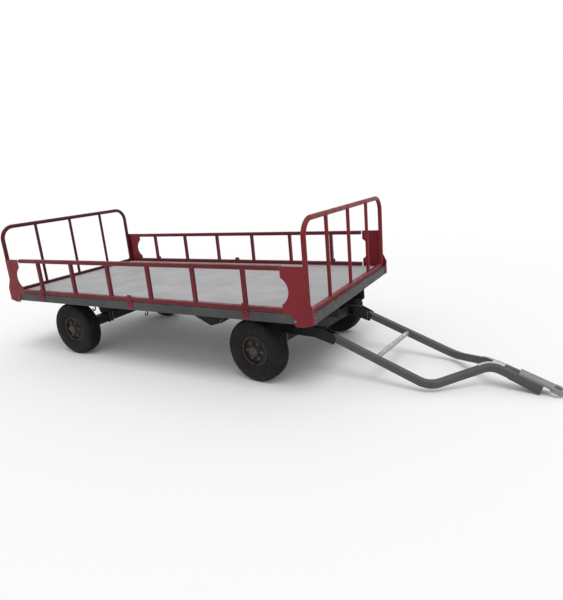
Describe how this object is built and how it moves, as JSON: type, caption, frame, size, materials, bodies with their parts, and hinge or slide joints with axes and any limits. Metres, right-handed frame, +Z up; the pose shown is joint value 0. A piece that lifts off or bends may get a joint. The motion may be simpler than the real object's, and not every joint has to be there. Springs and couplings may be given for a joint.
{
  "type": "airport baggage trailer",
  "caption": "Flatbed baggage trailer with fixed hoop end gates, drop side gates, a turntable-steered front axle and a cranked drawbar with a tow eye.",
  "frame": {"origin": "on the floor, under the middle of the overall length and width", "axes": "+X forward in the towing direction, +Y to the left, +Z up"},
  "size_m": [4.5206, 1.505, 1.1684],
  "materials": {
    "gate_red": "satin",
    "frame_grey": "satin",
    "bar_grey": "satin",
    "deck_grey": "matte",
    "under_black": "matte",
    "rubber": "matte",
    "hub_brown": "satin"
  },
  "bodies": {
    "chassis": {"deck_plate": "deck_grey", "side_sills": "frame_grey", "end_sills": "frame_grey", "cross_members": "under_black", "main_beams": "under_black", "front_bolster": "under_black", "turntable_upper": "under_black", "kingpin": "under_black", "rear_pedestals": "under_black", "rear_axle_beam": "under_black", "rear_spindles": "under_black", "corner_posts": "gate_red", "front_hoop": "gate_red", "rear_hoop": "gate_red", "front_gate_bars": "gate_red", "rear_gate_bars": "gate_red", "gate_hinge_leaves": "gate_red", "rope_hooks": "frame_grey", "tool_box": "under_black", "rear_hitch": "frame_grey"},
    "front_bogie": {"turntable_lower": "under_black", "bogie_arms": "under_black", "bogie_cross_members": "under_black", "front_axle_beam": "under_black", "front_spindles": "under_black", "drawbar_clevises": "under_black", "drawbar_pins": "bar_grey"},
    "drawbar": {"drawbar_barrels": "bar_grey", "drawbar_rails": "bar_grey", "drawbar_cross_tube": "bar_grey", "drawbar_gusset": "bar_grey", "drawbar_nose": "bar_grey", "tow_eye": "bar_grey"},
    "wheel_front_left": {"tyre_front_left": "rubber", "rim_front_left": "under_black", "hub_front_left": "hub_brown"},
    "wheel_front_right": {"tyre_front_right": "rubber", "rim_front_right": "under_black", "hub_front_right": "hub_brown"},
    "wheel_rear_left": {"tyre_rear_left": "rubber", "rim_rear_left": "under_black", "hub_rear_left": "hub_brown"},
    "wheel_rear_right": {"tyre_rear_right": "rubber", "rim_rear_right": "under_black", "hub_rear_right": "hub_brown"},
    "side_gate_left": {"gate_rails_left": "gate_red", "gate_bars_left": "gate_red", "gate_straps_left": "gate_red"},
    "side_gate_right": {"gate_rails_right": "gate_red", "gate_bars_right": "gate_red", "gate_straps_right": "gate_red"}
  },
  "joints": [
    {"name": "steering", "type": "hinge", "parent": "chassis", "child": "front_bogie", "pos_m": [0.41864, 0, 0.369], "axis": [0, 0, 1], "range_deg": [-33.5, 46.5]},
    {"name": "drawbar_lift", "type": "hinge", "parent": "front_bogie", "child": "drawbar", "pos_m": [0.86774, -0.05117, 0.283], "axis": [-0.1132, -0.9936, 0], "range_deg": [0, 45]},
    {"name": "side_gate_left_drop", "type": "hinge", "parent": "chassis", "child": "side_gate_left", "pos_m": [-0.64136, 0.7455, 0.5665], "axis": [-1, 0, 0], "range_deg": [0, 180]},
    {"name": "side_gate_right_drop", "type": "hinge", "parent": "chassis", "child": "side_gate_right", "pos_m": [-0.64136, -0.7455, 0.5665], "axis": [1, 0, 0], "range_deg": [0, 180]},
    {"name": "wheel_front_left_spin", "type": "hinge", "parent": "front_bogie", "child": "wheel_front_left", "pos_m": [0.48351, 0.56932, 0.231], "axis": [0.1132, 0.9936, 0], "continuous": true},
    {"name": "wheel_front_right_spin", "type": "hinge", "parent": "front_bogie", "child": "wheel_front_right", "pos_m": [0.35378, -0.56932, 0.231], "axis": [0.1132, 0.9936, 0], "continuous": true},
    {"name": "wheel_rear_left_spin", "type": "hinge", "parent": "chassis", "child": "wheel_rear_left", "pos_m": [-1.54636, 0.573, 0.231], "axis": [0, 1, 0], "continuous": true},
    {"name": "wheel_rear_right_spin", "type": "hinge", "parent": "chassis", "child": "wheel_rear_right", "pos_m": [-1.54636, -0.573, 0.231], "axis": [0, 1, 0], "continuous": true}
  ]
}
